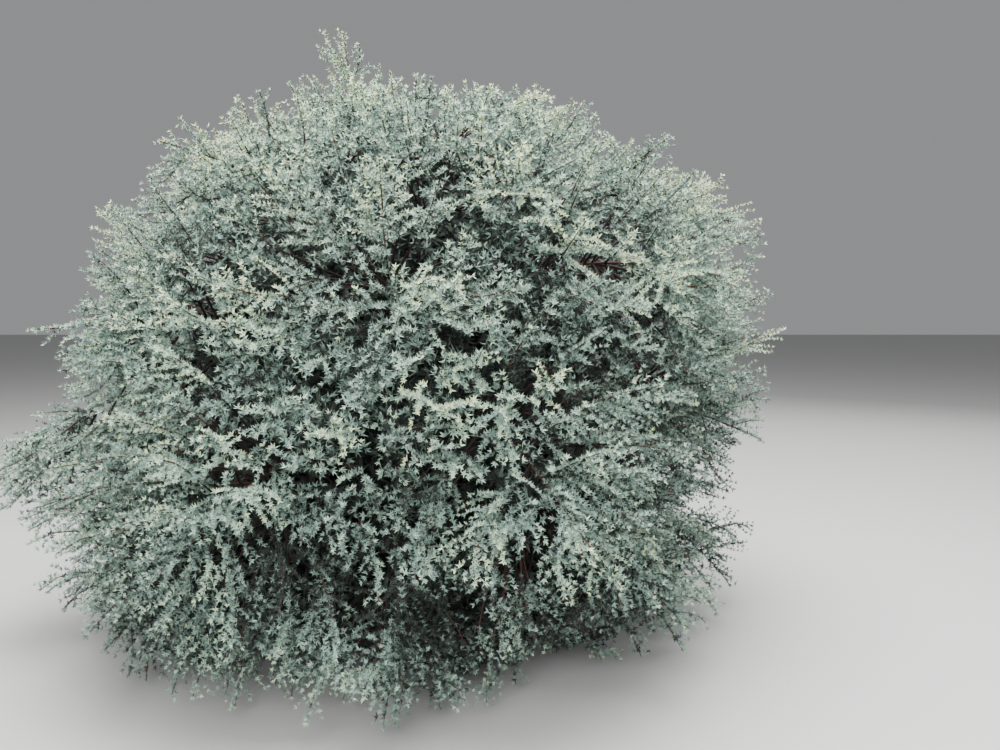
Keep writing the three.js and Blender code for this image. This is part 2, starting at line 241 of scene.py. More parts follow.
def pointOn(curve, share):  # a quadratic curve: start, elbow, end
    a, b, c = curve
    return a * (1 - share) ** 2 + b * (2 * share * (1 - share)) + c * share ** 2


def tangentOn(curve, share):
    a, b, c = curve
    return ((b - a) * (1 - share) + (c - b) * share).normalized()


def lengthOf(points):
    return sum((b - a).length for a, b in zip(points, points[1:]))


def planBoughs():  # where each bough leaves the trunk, where it ends and where its stem ends
    plans = []
    for tier in tiers:
        for k in range(tier["count"]):
            mark = f"{tier['name']}_{k + 1}"
            stretch = longBoughs.get(mark, 1)
            draw = seededDraw(seeds["limbs"] + len(plans) * seeds["limbStep"])
            turn = tier["turn"] + 360 * k / tier["count"]
            away = outward(turn + spread(draw, crown["turnSpread"]))
            low = mix(tier["lowest"], tier["highest"], (k * crown["goldenShare"]) % 1)
            stagger = tier["stagger"] if k % 2 else -tier["stagger"]
            tipHeight = tier["tipHeight"] + stagger + spread(draw, crown["heightSpread"])
            reach = float(radiusOfCrown(tipHeight)) * (1 + spread(draw, crown["reachSpread"]))
            reach *= stretch
            bareHeight = tier["bareHeight"] + stagger / 2 + spread(draw, crown["heightSpread"])
            bareEnd = away * (reach * tier["bareShare"])
            bareEnd += trunkAxis(tier["bareHeight"]) * bough["leanShare"]
            bareEnd.z = bareHeight
            start = trunkAxis(low)
            rise = math.radians(tier["rise"])
            leave = away * math.cos(rise) + up * math.sin(rise)
            tip = away * reach + Vector((crown["offset"], 0, tipHeight))
            limb = (start, start + leave * ((start - bareEnd).length * bough["elbowShare"]), bareEnd)
            onward = tangentOn(limb, 1)
            root = bareEnd + onward * trunk["jointGap"]
            stem = (root, root + onward * ((root - tip).length * bough["kneeShare"]), tip)
            plans.append({
                "tier": tier, "mark": mark, "stretch": stretch, "away": away, "bough": limb, "stem": stem,
                "across": Vector((-away.y, away.x, 0)), "draw": draw,
                "baseRadius": tier["baseRadius"], "endRadius": tier["baseRadius"] * bough["tipShare"],
            })
    return plans


def planLeader(index):
    lowEnd, highEnd = trunkAxis(trunk["height"]), trunkAxis(crown["height"])
    slope = (lowEnd.x - highEnd.x) / (crown["height"] - trunk["height"])
    root = trunkAxis(trunk["height"] + trunk["jointGap"] + slope * trunk["tipRadius"])
    knee = trunkAxis((trunk["height"] + crown["height"]) / 2)
    return {
        "tier": leader, "mark": leader["name"], "stretch": 1, "away": outward(0), "across": outward(90),
        "stem": (root, knee, highEnd), "endRadius": trunk["tipRadius"],
        "draw": seededDraw(seeds["limbs"] + index * seeds["limbStep"]),
    }


boughPlans = planBoughs()
massPlans = boughPlans + [planLeader(len(boughPlans))]
centres = np.array([pointOn(plan["stem"], 0.5) for plan in massPlans])
curveSteps = {"stem": 14, "bough": 10, "trunk": 24}


def pointsAlong(curve, count):
    return [pointOn(curve, i / count) for i in range(count + 1)]


stemLines = np.array([pointsAlong(plan["stem"], curveSteps["stem"]) for plan in massPlans])


def limbSegments():
    starts, ends, radii = [], [], []
    for plan in boughPlans:
        count = curveSteps["bough"]
        points = pointsAlong(plan["bough"], count)
        starts += points[:-1]
        ends += points[1:]
        radii += [mix(plan["baseRadius"], plan["endRadius"], i / count) for i in range(count)]
    count = curveSteps["trunk"]
    heights = [trunk["height"] * i / count for i in range(count + 1)]
    starts += [trunkAxis(z) for z in heights[:-1]]
    ends += [trunkAxis(z) for z in heights[1:]]
    radii += [trunkRadius(z) for z in heights[:-1]]
    return np.array(starts), np.array(ends), np.array(radii)


limbStarts, limbEnds, limbRadii = limbSegments()


def clearOfLimbs(points):
    run = limbEnds - limbStarts
    rel = points[:, None, :] - limbStarts[None]
    share = np.clip((rel * run).sum(2) / (run ** 2).sum(1), 0, 1)
    gap = np.linalg.norm(rel - share[..., None] * run, axis=2)
    return (gap > limbRadii + crown["limbGap"]).all(axis=1)


def inSpace(index, points):  # each mass keeps to the part of the crown that is nearest to its centre
    z = points[:, 2]
    inside = (z > crown["tuftGap"]) & (z < crown["height"])
    reach = radiusOfCrown(z) * crown["slack"] * massPlans[index]["stretch"]
    share = np.clip(z, 0, None) / crown["height"]
    aside = points[:, 0] - trunk["lean"] * share ** trunk["leanPower"]
    behind = points[:, 1] - trunk["sway"] * np.sin(trunk["swayTurn"] * share)
    nearAxis = np.hypot(aside, behind) < crown["leaderWidth"]
    fromMiddle = np.hypot(points[:, 0] - crown["offset"], points[:, 1])
    inside &= (fromMiddle < reach) | (nearAxis & (z > crown["widestAt"]))
    others = np.delete(centres, index, axis=0) - centres[index]
    length = np.linalg.norm(others, axis=1)
    toStem = np.linalg.norm(points[:, None] - stemLines[index][None], axis=2).min(axis=1)
    plain = (reliefAt(points) < crown["dentFrom"]) | (toStem < crown["stemSlack"])
    inside &= plain | (depthInCrown(points) > -crown["dentSlack"])
    along = (points - centres[index]) @ others.T / length
    return inside & (along < length / 2 - crown["spaceGap"]).all(axis=1)


# How steeply a shoot ends, by its height: hanging at the foot, level half way up, upright at the top.
# One that ends within nearAxis of the middle faces axisTurn. Side shoots turn up by bendUp.
habit = {
    "heights": [0.0, 0.3, 0.7, 1.1, 1.6, 2.1, 2.5, 2.9],
    "endPitch": [-66, -50, -30, -4, 26, 46, 62, 75],
    "bendUp": [-0.6, -0.45, -0.28, -0.12, 0.0, 0.1, 0.35, 0.6],
    "nearAxis": 0.05,
    "axisTurn": 200,
}

# Points all through the crown that shoots may grow to. Lumps leave hollows in its skin, deepest low down.
scatter = {
    "perCubicMetre": 2600,
    "reach": 2.05,
    "outermost": -0.3,
    "innermost": 1.3,
    "batches": 20,
    "lumpScale": 2.3,
    "lumpHeights": [0.0, 0.5, 1.2, 2.0, 2.9],
    "lumpDepth": [0.1, 0.25, 0.11, 0.08, 0.05],
    "lumpLevel": 0.02,
    "lumpEdge": 0.3,
}

# Each mass is a plume: its skin stands proud about its stem's line and falls back on either side.
plume = {"proud": 0.08, "proudWidth": 0.22, "fall": 0.09, "fallFrom": 0.15, "fallTo": 0.75}


def depthInMass(index, points):  # metres under the skin that the lumps and the mass's own plume leave
    points = np.array(points)
    lumps = np.array([noise.noise(Vector(point) * scatter["lumpScale"]) for point in points])
    hollow = np.clip((lumps - scatter["lumpLevel"]) / scatter["lumpEdge"], 0, 1)
    hollow *= np.interp(points[:, 2], scatter["lumpHeights"], scatter["lumpDepth"])
    root, _, tip = massPlans[index]["stem"]
    aside = np.linalg.norm(np.cross(points - np.array(root), np.array((tip - root).normalized())), axis=1)
    fallShare = (aside - plume["fallFrom"]) / (plume["fallTo"] - plume["fallFrom"])
    fall = plume["fall"] * np.clip(fallShare, 0, 1)
    proud = plume["proud"] * np.clip(1 - aside / plume["proudWidth"], 0, 1)
    return depthInCrown(points) - hollow - fall + proud


def scatterPoints():  # each with the mass it lies in
    lowest, highest = crown["tuftGap"], crown["height"]
    span = np.array([2 * scatter["reach"], 2 * scatter["reach"], highest - lowest])
    count = int(span.prod() * scatter["perCubicMetre"])
    points = np.random.default_rng(seeds["points"]).random((count, 3)) * span
    points += [-scatter["reach"], -scatter["reach"], lowest]
    depth = depthInCrown(points)
    points = points[(depth > scatter["outermost"]) & (depth < scatter["innermost"])]
    nearest = np.concatenate([
        ((some[:, None] - centres[None]) ** 2).sum(2).argmin(1)
        for some in np.array_split(points, scatter["batches"])
    ])
    return points, nearest


def sourceTwigs(plan):  # the twigs that the solids have, drawn in the same order
    tier, stem, draw = plan["tier"], plan["stem"], plan["draw"]
    for _ in range(twig["heartDraws"]):
        draw()
    full = lengthOf(pointsAlong(stem, twig["lengthSteps"])) * tier.get("reach", 1)
    found = []
    for k, tierRoll in enumerate(tier["rolls"]):
        share = (k + 1) / (len(tier["rolls"]) + 1)
        tangent = tangentOn(stem, share)
        over = plan["across"].cross(tangent).normalized()
        roll = math.radians(tierRoll + spread(draw, twig["rollSpread"]))
        sideways = plan["across"] * math.cos(roll) + over * math.sin(roll)
        leanMiddle = mix(twig["leanInner"], twig["leanOuter"], share)
        lean = math.radians(leanMiddle + spread(draw, twig["leanSpread"]))
        direction = (tangent * math.cos(lean) + sideways * math.sin(lean)).normalized()
        reach = mix(twig["reachInner"], twig["reachOuter"], share)
        length = full * reach * (1 + spread(draw, twig["reachSpread"]))
        start = pointOn(stem, share)
        end = start + direction * length
        end += up * (tier["hang"] * length)
        end += plan["away"] * (twig["pull"] * length)
        found.append((start, direction, end))
    return found


def endDirection(point):
    pitch = math.radians(float(np.interp(point.z, habit["heights"], habit["endPitch"])))
    level = Vector((point.x, point.y, 0))
    level = level.normalized() if level.length > habit["nearAxis"] else outward(habit["axisTurn"])
    return level * math.cos(pitch) + up * math.sin(pitch)


def cutToSpace(index, points):  # the leading run of points that stays in the mass's space
    spots = np.array(points[1:])
    good = inSpace(index, spots) & clearOfLimbs(spots)
    run = int(np.argmin(good)) if not good.all() else len(spots)
    return points[: run + 1]


def swept(start, leave, end, arrive, count):  # one smooth curve, leaving and arriving as it is told
    reach = (end - start).length
    a, b = start + leave * reach, end - arrive * reach
    points = []
    for i in range(count + 1):
        t = i / count
        early = start * (1 - t) ** 3 + a * (3 * t * (1 - t) ** 2)
        points.append(early + b * (3 * t * t * (1 - t)) + end * t ** 3)
    return points


# Painted light and shade: tints are paler higher up and nearer the skin, darker deeper in. A spray's
# shoots share most of their tone, which also differs at random: a branchlet takes some of its parent's.
# The painted light on a shoot gives its tint, 0 the palest. Its root is darker than its end, partly as
# painted shade further in and partly as the new growth's own paler colour at the end.
tones = {
    "heights": [0.0, 1.0, 1.9, 2.5],
    "light": [0.28, 0.4, 0.51, 0.76],
    "lossPerMetre": 1.7,
    "spread": 0.34,
    "inherited": 0.6,
    "ownSpread": 0.08,
    "proudest": -0.02,
    "unlitTint": 3.8,
    "rootDarker": 0.4,
    "endPaler": 0.7,
}

# Filling twigs run from a mass's stem to its skin wherever the plan's own twigs leave it empty. Here and
# below, highest and deepest are depths under the skin.
fillTwig = {
    "spacing": 0.175,
    "highest": -0.15,
    "deepest": 0.06,
    "places": 24,
    "firstPlace": 2,
    "bestLean": 46,
    "leanScale": 20,
    "distanceScale": 0.7,
    "leave": 0.34,
    "arrive": 0.36,
    "steps": 7,
    "shortest": 0.16,
    "tilt": 30,
}


def fillingTwig(plan, end):  # the place on the stem from which a twig best reaches that end
    best = None
    for i in range(fillTwig["firstPlace"], fillTwig["places"]):
        share = i / fillTwig["places"]
        start, tangent = pointOn(plan["stem"], share), tangentOn(plan["stem"], share)
        gap = end - start
        lean = math.degrees(gap.angle(tangent))
        score = abs(lean - fillTwig["bestLean"]) / fillTwig["leanScale"]
        score += gap.length / fillTwig["distanceScale"]
        if best is None or score < best[0]:
            best = (score, start, tangent, gap)
    _, start, tangent, gap = best
    sideways = (gap - tangent * gap.dot(tangent)).normalized()
    lean = math.radians(fillTwig["bestLean"])
    return start, tangent * math.cos(lean) + sideways * math.sin(lean), end


def growTwigs(index, plan, skin, draw):
    wanted = sourceTwigs(plan)
    ends = [end for _, _, end in wanted]
    for spot in skin:
        if min(np.linalg.norm(np.array(ends) - spot, axis=1)) > fillTwig["spacing"]:
            ends.append(Vector(spot))
            wanted.append(fillingTwig(plan, ends[-1]))
    twigs = []
    for start, leave, end in wanted:
        arrive = endDirection(end) * fillTwig["arrive"]
        path = cutToSpace(index, swept(start, leave * fillTwig["leave"], end, arrive, fillTwig["steps"]))
        if lengthOf(path) > fillTwig["shortest"]:
            tilt = math.radians(spread(draw, fillTwig["tilt"]))
            tone = spread(draw, tones["spread"])
            twigs.append({"points": path, "away": plan["away"], "tilt": tilt, "tone": tone})
    return twigs


# Each twig is a flat frond: a comb of long shoots, left and right in turn and shorter towards its end,
# left out where the crown is already full.
frond = {
    "spacing": 0.024,
    "spacingSpread": 0.22,
    "bareEnd": 0.02,
    "shortest": 0.035,
    "perRemaining": 0.5,
    "longest": 0.2,
    "lean": 46,
    "leanSpread": 7,
    "forward": 0.1,
    "rollSpread": 13,
    "outerPerRise": 0.9,
    "deepest": 0.34,
    "steps": 3,
}
crowd = {"cell": (0.06, 0.06, 0.04), "most": 2}  # how many shoots may run through one cell

# Branchlets also reach from the twigs to whatever part of the crown is still empty, in flat layers: a
# gap counts for more upright than level. They are closer where the skin stands proud. Inner ones do so
# deeper in, where it is dark.
branchlet = {
    "spacing": 0.078,
    "proud": [-0.09, 0],
    "proudSpacing": [0.6, 1],
    "layering": 1.4,
    "highest": 0.02,
    "deepest": 0.38,
    "shortest": 0.07,
    "longest": 0.5,
    "widestLean": 78,
    "flatness": 1.2,
    "leave": 0.27,
    "arrive": 0.25,
    "steps": 4,
    "tilt": 32,
    "rounds": 3,
}
innerBranchlet = {
    "spacing": 0.136,
    "proud": [-0.09, 0],
    "proudSpacing": [0.8, 1],
    "layering": 1.2,
    "highest": 0.3,
    "deepest": 1.15,
    "shortest": 0.1,
    "longest": 0.6,
    "widestLean": 120,
    "flatness": 0.4,
    "leave": 0.2,
    "arrive": 0.1,
    "steps": 4,
    "tilt": 40,
    "rounds": 3,
}

# What a way to a gap costs: its length, and more where it turns off its parent's own way.
wayCost = {"sideways": 1.8, "saved": 0.8}


def spotsOf(shoots):  # the points of some shoots, with the way each shoot runs there and its tone
    spots, ways, spotTones = [], [], []
    for shoot in shoots:
        points = shoot["points"]
        for i, point in enumerate(points):
            spots.append(point)
            ways.append((points[min(i + 1, len(points) - 1)] - points[max(i - 1, 0)]).normalized())
            spotTones.append(shoot["tone"])
    return np.array(spots), np.array(ways), spotTones


def growBranchlets(index, parents, wanted, rule, away, draw):
    spots, ways, parentTones = spotsOf(parents)
    faces = np.array([Vector(way).cross(flatAcross(Vector(way), away)) for way in ways])
    layered = np.array([1, 1, rule["layering"]])
    occupied = spots * layered
    narrowest = math.cos(math.radians(rule["widestLean"]))
    spacings = rule["spacing"] * np.interp(reliefAt(wanted), rule["proud"], rule["proudSpacing"])
    found = []
    for target, spacing in zip(wanted, spacings):
        if np.linalg.norm(occupied - target * layered, axis=1).min() < spacing:
            continue
        gaps = target - spots
        reach = np.linalg.norm(gaps, axis=1)
        cosine = (gaps * ways).sum(1) / reach
        outOfPlane = np.abs((gaps * faces).sum(1)) / reach
        fits = (reach > rule["shortest"]) & (reach < rule["longest"]) & (cosine > narrowest)
        if not fits.any():
            continue
        cost = reach * (wayCost["sideways"] - wayCost["saved"] * cosine)
        cost *= 1 + rule["flatness"] * outOfPlane
        best = int(np.where(fits, cost, np.inf).argmin())
        start, end = Vector(spots[best]), Vector(target)
        straight = (end - start).normalized()
        leave = (straight + Vector(ways[best])).normalized() * rule["leave"]
        arrive = (straight + endDirection(end)).normalized() * rule["arrive"]
        path = cutToSpace(index, swept(start, leave, end, arrive, rule["steps"]))
        if len(path) > 2:
            tilt = math.radians(spread(draw, rule["tilt"]))
            tone = mix(spread(draw, tones["spread"]), parentTones[best], tones["inherited"])
            found.append({"points": path, "away": away, "tilt": tilt, "tone": tone})
            occupied = np.concatenate([occupied, np.array(path) * layered])
    return found


# Side shoots come off left and right in turn, long near their parent's root and short near its end.
sideShoot = {
    "spacing": 0.032,
    "spacingSpread": 0.25,
    "bareEnd": 0.018,
    "shortest": 0.03,
    "perRemaining": 0.4,
    "longest": 0.11,
    "lean": 50,
    "leanSpread": 9,
    "forward": 0.3,
    "rollSpread": 18,
    "outerPerRise": 0.9,
    "deepest": 0.34,
    "steps": 2,
}
innerShoot = {
    "spacing": 0.062,
    "spacingSpread": 0.3,
    "bareEnd": 0.03,
    "shortest": 0.08,
    "perRemaining": 0.4,
    "longest": 0.18,
    "lean": 60,
    "leanSpread": 14,
    "forward": 0.3,
    "rollSpread": 70,
    "outerPerRise": 0.0,
    "flatness": 0.3,
    "deepest": 1.2,
    "steps": 2,
}

# What all combs share: where the first shoot stands, in spacings, how much a length varies, how far a
# shoot stands off the comb's plane and the share of those that are on its outer side. A way whose level
# part is smaller than steepLean counts as upright.
comb = {
    "firstAt": (0.5, 1.2),
    "lengths": (0.75, 1.15),
    "offPlane": (40, 140),
    "outerShare": 0.5,
    "steepLean": 0.35,
}


def flatAcross(tangent, away):
    side = up.cross(tangent)
    if side.length < comb["steepLean"]:
        side = away.cross(tangent)
    return side.normalized()


def sideShoots(parent, rule, flatness, draw):
    points, total = parent["points"], lengthOf(parent["points"])
    found = []
    at = between(draw, *comb["firstAt"]) * rule["spacing"] + parent["bare"]
    hand = 1 if draw() < 0.5 else -1
    passed, piece = 0, 0
    while at < total - rule["bareEnd"]:
        while piece < len(points) - 2 and passed + (points[piece + 1] - points[piece]).length < at:
            passed += (points[piece + 1] - points[piece]).length
            piece += 1
        run = points[piece + 1] - points[piece]
        start = points[piece] + run * min(1, (at - passed) / run.length)
        tangent = run.normalized()
        flat = flatAcross(tangent, parent["away"])
        face = tangent.cross(flat)
        roll = parent["tilt"] + math.radians(spread(draw, rule["rollSpread"]))
        if draw() > flatness:
            outer = draw() < comb["outerShare"] + rule["outerPerRise"] * tangent.z
            roll += math.radians(between(draw, *comb["offPlane"])) * (-hand if outer else hand)
        around = (flat * math.cos(roll) + face * math.sin(roll)) * hand
        lean = math.radians(rule["lean"] + spread(draw, rule["leanSpread"]))
        length = min(rule["shortest"] + rule["perRemaining"] * (total - at), rule["longest"])
        length *= between(draw, *comb["lengths"])
        direction = tangent * math.cos(lean) + around * math.sin(lean)
        bend = up * float(np.interp(start.z, habit["heights"], habit["bendUp"])) / rule["steps"]
        path, step = [start], length / rule["steps"]
        for i in range(rule["steps"]):
            path.append(path[-1] + direction * step)
            direction = (direction + tangent * rule["forward"] + bend).normalized()
        tilt = parent["tilt"] + math.radians(spread(draw, rule["rollSpread"]))
        found.append({"points": path, "away": parent["away"], "tilt": tilt, "tone": parent["tone"]})
        hand = -hand
        at += rule["spacing"] * (1 + spread(draw, rule["spacingSpread"]))
    return found


def keepShoots(index, shoots, rule):  # each cut where it would leave the mass's space or touch a limb
    if not shoots:
        return []
    count = rule["steps"] + 1
    spots = np.array([point for shoot in shoots for point in shoot["points"]])
    good = (inSpace(index, spots) & clearOfLimbs(spots)).reshape(-1, count)
    depth = depthInMass(index, spots[count - 1 :: count])
    kept = []
    for shoot, ok, deep in zip(shoots, good, depth):
        run = count if ok[1:].all() else 1 + int(np.argmin(ok[1:]))
        if run > 1 and deep < rule["deepest"]:
            kept.append({**shoot, "points": shoot["points"][:run], "depth": float(deep)})
    return kept


def notCrowded(shoots, filled):  # leaves out a shoot whose outer half runs where others already are
    kept = []
    for shoot in shoots:
        cells = [tuple(int(v // c) for v, c in zip(point, crowd["cell"])) for point in shoot["points"][2:]]
        if all(filled.get(cell, 0) < crowd["most"] for cell in cells):
            kept.append(shoot)
            for cell in set(cells):
                filled[cell] = filled.get(cell, 0) + 1
    return kept


def bareLength(index, shoot, deepest):  # how far along it the shoot comes near enough to the light
    depth = depthInMass(index, shoot["points"])
    first = int(np.argmax(depth < deepest)) if (depth < deepest).any() else len(depth) - 1
    return lengthOf(shoot["points"][: first + 1])


def growMass(index, plan, mine, filled):  # its shoots, each kind in a list of its own
    draw = seededDraw(seeds["shoots"] + index * seeds["shootStep"])
    away, flatness = plan["away"], plan["tier"]["flatness"]
    mine = mine[inSpace(index, mine)]
    depth = depthInMass(index, mine)

    def layer(rule):
        return mine[(depth > rule["highest"]) & (depth < rule["deepest"])]

    line = stemLines[index]
    last = np.flatnonzero(inSpace(index, line))[-1]
    stemPoints = [Vector(point) for point in line[: last + 1]]
    stem = {"points": stemPoints, "away": away, "tilt": 0, "tone": 0}
    twigs = growTwigs(index, plan, layer(fillTwig), draw)
    fronds = []
    for one in [stem] + twigs:
        one["bare"] = bareLength(index, one, frond["deepest"])
        fronds += sideShoots(one, frond, flatness, draw)
    fronds = notCrowded(keepShoots(index, fronds, frond), filled)
    gaps, inner = [], []
    for _ in range(branchlet["rounds"]):
        grownOn = [stem] + twigs + fronds + gaps
        gaps += growBranchlets(index, grownOn, layer(branchlet), branchlet, away, draw)
    for _ in range(innerBranchlet["rounds"]):
        grownOn = [stem] + twigs + inner
        inner += growBranchlets(index, grownOn, layer(innerBranchlet), innerBranchlet, away, draw)
    sides, innerSides = [], []
    for one in gaps:
        one["bare"] = bareLength(index, one, sideShoot["deepest"])
        sides += sideShoots(one, sideShoot, flatness, draw)
    for one in inner:
        one["bare"] = 0
        innerSides += sideShoots(one, innerShoot, innerShoot["flatness"], draw)
    for one in [stem] + twigs + gaps + inner:
        one["depth"] = float(depthInMass(index, one["points"][-1:])[0])
    return {
        "index": index,
        "plan": plan,
        "stem": stem,
        "twigs": twigs,
        "branchlets": gaps,
        "sides": fronds + keepShoots(index, sides, sideShoot),
        "innerBranchlets": inner,
        "innerSides": keepShoots(index, innerSides, innerShoot),
    }


def growTree():
    points, nearest = scatterPoints()
    filled = {}
    return [growMass(i, plan, points[nearest == i], filled) for i, plan in enumerate(massPlans)]


masses = growTree()
for kind in ("twigs", "branchlets", "sides", "innerBranchlets", "innerSides"):
    shoots = [shoot for mass in masses for shoot in mass[kind]]
    print("  ", kind, len(shoots), round(sum(lengthOf(shoot["points"]) for shoot in shoots)), "m")


# Materials. A finish that is one colour all over has that colour on the shader itself.
def plainMaterial(name, colour, roughness, specular=0.35, sheen=0.0):
    material = bpy.data.materials.new(name)
    material.use_nodes = True
    shader = material.node_tree.nodes["Principled BSDF"]
    shader.inputs["Base Color"].default_value = (*colour, 1)
    shader.inputs["Roughness"].default_value = roughness
    shader.inputs["Specular IOR Level"].default_value = specular
    shader.inputs["Sheen Weight"].default_value = sheen
    shader.inputs["Sheen Roughness"].default_value = 0.4
    return material


needleTints = {  # from pale to dark, dealt by painted light and shade; the palest are also the new ends' own colour, needle_shade is painted shade deep inside
    "needle_cream": (0.64, 0.74, 0.46),
    "needle_frost": (0.49, 0.62, 0.45),
    "needle_silver": (0.34, 0.46, 0.36),
    "needle_blue": (0.20, 0.30, 0.262),
    "needle_green": (0.14, 0.20, 0.16),
    "needle_shade": (0.03, 0.04, 0.032),
}
needleMaterials = [
    plainMaterial(name, colour, roughness=0.62, specular=0.3, sheen=0.15)
    for name, colour in needleTints.items()
]
twigTints = {  # from the ends of the newest shoots to the old wood inside, darkest there partly in its own colour and partly as painted shade
    "twig_tan": (0.40, 0.31, 0.19),
    "twig_brown": (0.072, 0.03, 0.024),
    "twig_dark": (0.02, 0.011, 0.009),
}
twigMaterials = [plainMaterial(name, colour, roughness=0.75) for name, colour in twigTints.items()]


def addNode(tree, kind, feeds=None, **settings):  # a feed is a value, or the output to link to that input
    node = tree.nodes.new(kind)
    for name, setting in settings.items():
        setattr(node, name, setting)
    for socket, feed in (feeds or {}).items():
        if isinstance(feed, bpy.types.NodeSocket):
            tree.links.new(feed, node.inputs[socket])
        else:
            node.inputs[socket].default_value = feed
    return node


def mathOf(tree, operation, *feeds):
    return addNode(tree, "ShaderNodeMath", dict(enumerate(feeds)), operation=operation).outputs[0]


def rampOf(tree, feed, *stops):
    ramp = addNode(tree, "ShaderNodeValToRGB", {"Fac": feed})
    for element, (position, colour) in zip(ramp.color_ramp.elements, stops):
        element.position = position
        element.color = (*colour, 1)
    return ramp.outputs["Color"]


# Bark is plates with furrows between them and patches of lichen. The scale is in plates a metre.
barks = {
    "trunk_bark": {
        "ridge": (0.17, 0.12, 0.09), "furrow": (0.03, 0.02, 0.015), "lichen": (0.22, 0.22, 0.18),
        "scale": 45, "stretch": 0.3, "strength": 0.9,
    },
    "bough_bark": {
        "ridge": (0.16, 0.08, 0.05), "furrow": (0.05, 0.025, 0.018), "lichen": (0.2, 0.17, 0.14),
        "scale": 90, "stretch": 0.5, "strength": 0.6,
    },
}
barkFinish = {
    "roughness": 0.88,
    "specular": 0.2,
    "furrowEdges": (0.02, 0.25),
    "grainScale": 4,
    "grainDetail": 6,
    "grainShare": 0.5,
    "lichenScale": 9,
    "lichenEdges": (0.55, 0.72),
    "bumpDistance": 0.004,
}


def barkMaterial(name, bark):
    material = bpy.data.materials.new(name)
    material.use_nodes = True
    tree = material.node_tree
    size = (bark["scale"], bark["scale"], bark["scale"] * bark["stretch"])
    place = addNode(tree, "ShaderNodeTexCoord").outputs["Object"]
    scaled = addNode(tree, "ShaderNodeMapping", {"Vector": place, "Scale": size}).outputs["Vector"]
    feeds = {"Vector": scaled, "Scale": 1}
    cells = addNode(tree, "ShaderNodeTexVoronoi", feeds, feature="DISTANCE_TO_EDGE")
    plates = cells.outputs["Distance"]
    feeds = {"Vector": scaled, "Scale": barkFinish["grainScale"], "Detail": barkFinish["grainDetail"]}
    grain = addNode(tree, "ShaderNodeTexNoise", feeds).outputs["Fac"]
    feeds = {"Vector": place, "Scale": barkFinish["lichenScale"]}
    patches = addNode(tree, "ShaderNodeTexNoise", feeds).outputs["Fac"]
    low, high = barkFinish["lichenEdges"]
    patched = rampOf(tree, patches, (low, (0, 0, 0)), (high, (1, 1, 1)))
    low, high = barkFinish["furrowEdges"]
    plain = rampOf(tree, plates, (low, bark["furrow"]), (high, bark["ridge"]))
    feeds = {"Factor": patched, "A": plain, "B": (*bark["lichen"], 1)}
    colour = addNode(tree, "ShaderNodeMix", feeds, data_type="RGBA").outputs["Result"]
    height = mathOf(tree, "MULTIPLY_ADD", grain, barkFinish["grainShare"], plates)
    feeds = {"Strength": bark["strength"], "Distance": barkFinish["bumpDistance"], "Height": height}
    bump = addNode(tree, "ShaderNodeBump", feeds).outputs["Normal"]
    shader = tree.nodes["Principled BSDF"]
    shader.inputs["Roughness"].default_value = barkFinish["roughness"]
    shader.inputs["Specular IOR Level"].default_value = barkFinish["specular"]
    tree.links.new(colour, shader.inputs["Base Color"])
    tree.links.new(bump, shader.inputs["Normal"])
    return material


barkMaterials = {name: barkMaterial(name, bark) for name, bark in barks.items()}
print("materials:", len(bpy.data.materials))


def addObject(name, data):
    added = bpy.data.objects.new(name, data)
    bpy.context.scene.collection.objects.link(added)
    return added


def wear(piece, nodes):  # the piece rides on the tree and stands for those solids
    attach(piece, "root")
    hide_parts(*nodes)


def reliefTube(rings, radii, sides, relief, name):  # closed, with the bark's relief in the mesh
    corners, faces = [], []
    side = Vector((0, 1, 0))
    for i, (centre, radius) in enumerate(zip(rings, radii)):
        ahead = (rings[min(i + 1, len(rings) - 1)] - rings[max(i - 1, 0)]).normalized()
        side = (side - ahead * side.dot(ahead)).normalized()
        front = ahead.cross(side)
        for k in range(sides):
            angle = 2 * math.pi * k / sides
            spoke = side * math.cos(angle) + front * math.sin(angle)
            corners.append(centre + spoke * relief(centre + spoke * radius, radius, spoke))
    for i in range(len(rings) - 1):
        for k in range(sides):
            low, lowNext = i * sides + k, i * sides + (k + 1) % sides
            faces.append((low, lowNext, lowNext + sides, low + sides))
    faces.append(tuple(reversed(range(sides))))
    faces.append(tuple(range((len(rings) - 1) * sides, len(rings) * sides)))
    mesh = bpy.data.meshes.new(name)
    mesh.from_pydata(corners, [], faces)
    mesh.polygons.foreach_set("use_smooth", [len(face) == 4 for face in faces])
    return mesh


# The rings are closer near the ground. The relief is shallower where the trunk is thinner than
# fullDepthRadius.
trunkLook = {
    "rings": 260,
    "ringPower": 1.2,
    "sides": 84,
    "plateDepth": 0.0045,
    "plateScale": 38,
    "plateStretch": 0.28,
    "plateEdge": 3,
    "plateLevel": 0.6,
    "grainScale": 120,
    "grainShare": 0.25,
    "fullDepthRadius": 0.04,
}
boughLook = {
    "rings": 30,
    "sides": 16,
    "flakeDepth": 0.0012,
    "flakeScale": 70,
    "grainScale": 180,
    "grainShare": 0.5,
}


def makeTrunk():
    look, count = trunkLook, trunkLook["rings"]
    heights = [trunk["height"] * (i / count) ** look["ringPower"] for i in range(count + 1)]
    rings = [trunkAxis(z) for z in heights]
    radii = [trunkRadius(z) for z in heights]
    stretch = Vector((1, 1, look["plateStretch"])) * look["plateScale"]

    def relief(point, radius, spoke):
        angle = math.atan2(spoke.y, spoke.x)
        lobe = trunk["flareLobeShare"] * math.cos(trunk["flareLobes"] * angle)
        swell = radius * (1 + lobe * math.exp(-point.z / trunk["flareHeight"]))
        near = noise.voronoi(point * stretch)[0]
        plate = min(1, (near[1] - near[0]) * look["plateEdge"]) - look["plateLevel"]
        grain = noise.noise(point * look["grainScale"]) * look["grainShare"]
        return swell + (plate + grain) * look["plateDepth"] * min(1, radius / look["fullDepthRadius"])

    mesh = reliefTube(rings, radii, look["sides"], relief, "trunk_with_bark")
    for corner in mesh.vertices[: look["sides"]]:
        corner.co.z = 0
    mesh.materials.append(barkMaterials["trunk_bark"])
    wear(addObject("trunk_with_bark", mesh), ["trunk"])


